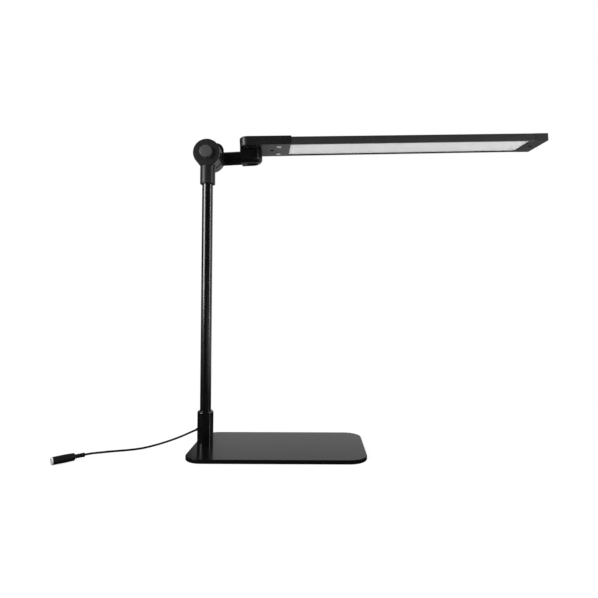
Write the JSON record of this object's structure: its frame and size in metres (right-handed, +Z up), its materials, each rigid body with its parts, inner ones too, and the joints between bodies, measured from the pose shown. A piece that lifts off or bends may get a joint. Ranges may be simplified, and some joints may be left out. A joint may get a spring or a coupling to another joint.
{
  "type": "LED desk lamp",
  "caption": "Desk lamp with a flat rectangular base, a slim pole, a friction tilt hinge, a swivel knuckle and a long flat light bar with an opal diffuser below.",
  "frame": {"origin": "on the table under the pole's axis, at the underside of the base pad", "axes": "+X along the base, from the pole towards the light bar's far end; +Y away from the viewer; +Z up the pole"},
  "size_m": [0.6434, 0.1657, 0.4309],
  "materials": {
    "black_painted_steel": "semi-gloss black paint",
    "satin_black": "satin black paint",
    "cast_black": "matt powder coat on a casting",
    "arm_black": "dull black paint",
    "plug_plastic": "dull black",
    "black_foam": "soft matt pad",
    "bare_aluminium": "plain turned",
    "white_nylon": "plain nylon",
    "steel": "zinc plated",
    "black_steel": "blackened",
    "black_rubber": "smooth soft plastic",
    "bright_metal": "bright nickel",
    "cap_plastic": "smooth black",
    "housing_plastic": "fine satin black",
    "matt_plastic": "grained matt black",
    "cover_plastic": "semi-gloss black",
    "circuit_board": "green solder resist",
    "switch_plastic": "dull black",
    "button_plastic": "smooth mid grey",
    "black_anodised": "satin black anodised",
    "white_board": "white resist on aluminium",
    "chip_white": "pale yellow phosphor",
    "opal_white": "opal white, satin face"
  },
  "bodies": {
    "base": {"base_plate": "black_painted_steel", "base_pad": "black_foam", "collar": "satin_black", "collar_plug": "bare_aluminium", "swivel_bush": "white_nylon", "collar_screw": "steel", "cord_grommet": "black_rubber", "power_cord": "black_rubber", "cord_boot": "black_rubber", "connector_body": "black_rubber", "connector_ring": "bright_metal", "connector_pin": "bright_metal"},
    "mast": {"pole": "satin_black", "pole_ring": "steel", "lower_hinge": "cast_black", "neck_screw": "steel", "hinge_cap": "cap_plastic", "friction_washer": "white_nylon"},
    "arm": {"hinge_bolt": "steel", "hinge_springs": "steel", "hinge_nut": "steel", "upper_hinge": "cast_black", "hinge_rear_cap": "cap_plastic", "arm_rod": "arm_black", "knuckle_cup": "arm_black", "knuckle_plug": "plug_plastic", "swivel_washer": "white_nylon"},
    "head": {"swivel_spindle": "steel", "swivel_spring": "steel", "swivel_nut": "steel", "housing_shell": "housing_plastic", "housing_cover": "cover_plastic", "cover_screw": "black_steel", "control_board": "circuit_board", "switches": "switch_plastic", "light_profile": "black_anodised", "led_board": "white_board", "led_chips": "chip_white", "diffuser": "opal_white", "end_cap": "matt_plastic", "cap_screw": "black_steel"},
    "power_key": {"button_power": "button_plastic"},
    "dimmer_key": {"button_dimmer": "button_plastic"}
  },
  "joints": [
    {"name": "pole_swing", "type": "hinge", "parent": "base", "child": "mast", "pos_m": [0, 0, 0.0269], "axis": [0, 0, 1], "range_deg": [-90, 90]},
    {"name": "arm_tilt", "type": "hinge", "parent": "mast", "child": "arm", "pos_m": [0, 0, 0.3896], "axis": [0, -1, 0], "range_deg": [-48, 80]},
    {"name": "head_swivel", "type": "hinge", "parent": "arm", "child": "head", "pos_m": [0.05683, 0.0196, 0.39238], "axis": [-0.0489, 0, 0.9988], "range_deg": [-95, 85]},
    {"name": "power_press", "type": "slide", "parent": "head", "child": "power_key", "axis": [-0.0489, 0, 0.9988], "range_m": [0, 0.0006], "stiffness_N_per_m": 900, "springref_m": -0.0008},
    {"name": "dimmer_press", "type": "slide", "parent": "head", "child": "dimmer_key", "axis": [-0.0489, 0, 0.9988], "range_m": [0, 0.0006], "stiffness_N_per_m": 900, "springref_m": -0.0008}
  ]
}
